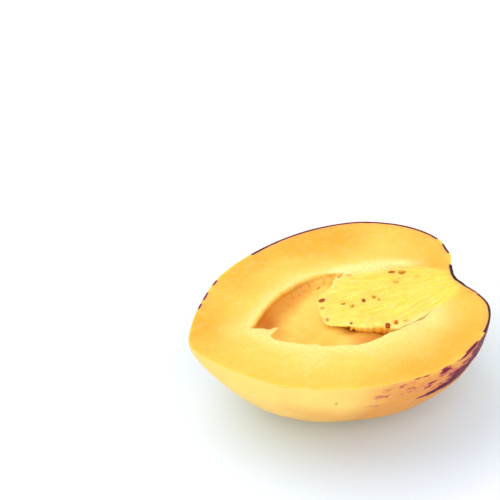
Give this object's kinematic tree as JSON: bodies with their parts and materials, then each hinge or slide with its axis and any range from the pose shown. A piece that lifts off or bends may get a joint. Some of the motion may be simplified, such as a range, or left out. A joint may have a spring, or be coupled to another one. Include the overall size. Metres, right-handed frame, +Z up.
{
  "type": "pepino melon half",
  "caption": "Half of a pepino melon, cut lengthwise: fleshy fruit with seed hollow and seed core, lying on its skin with the cut face up, and a dry calyx at the stem.",
  "frame": {"origin": "middle of the small flat spot on the skin that the half rests on, under its centre of mass", "axes": "+X along the fruit towards the stem end, +Z up out of the cut face, +Y the side that is away from the camera"},
  "size_m": [0.0988, 0.0804, 0.0367],
  "materials": {
    "flesh": "moist, slightly translucent, fibrous fruit flesh",
    "skin": "smooth satin skin with purple streaks",
    "seed_core": "juicy, crinkled, translucent",
    "seeds": "satin brown",
    "calyx": "dry, wrinkled, matt"
  },
  "bodies": {
    "root": {"fruit_half": "flesh", "calyx_half": "calyx"}
  },
  "joints": []
}
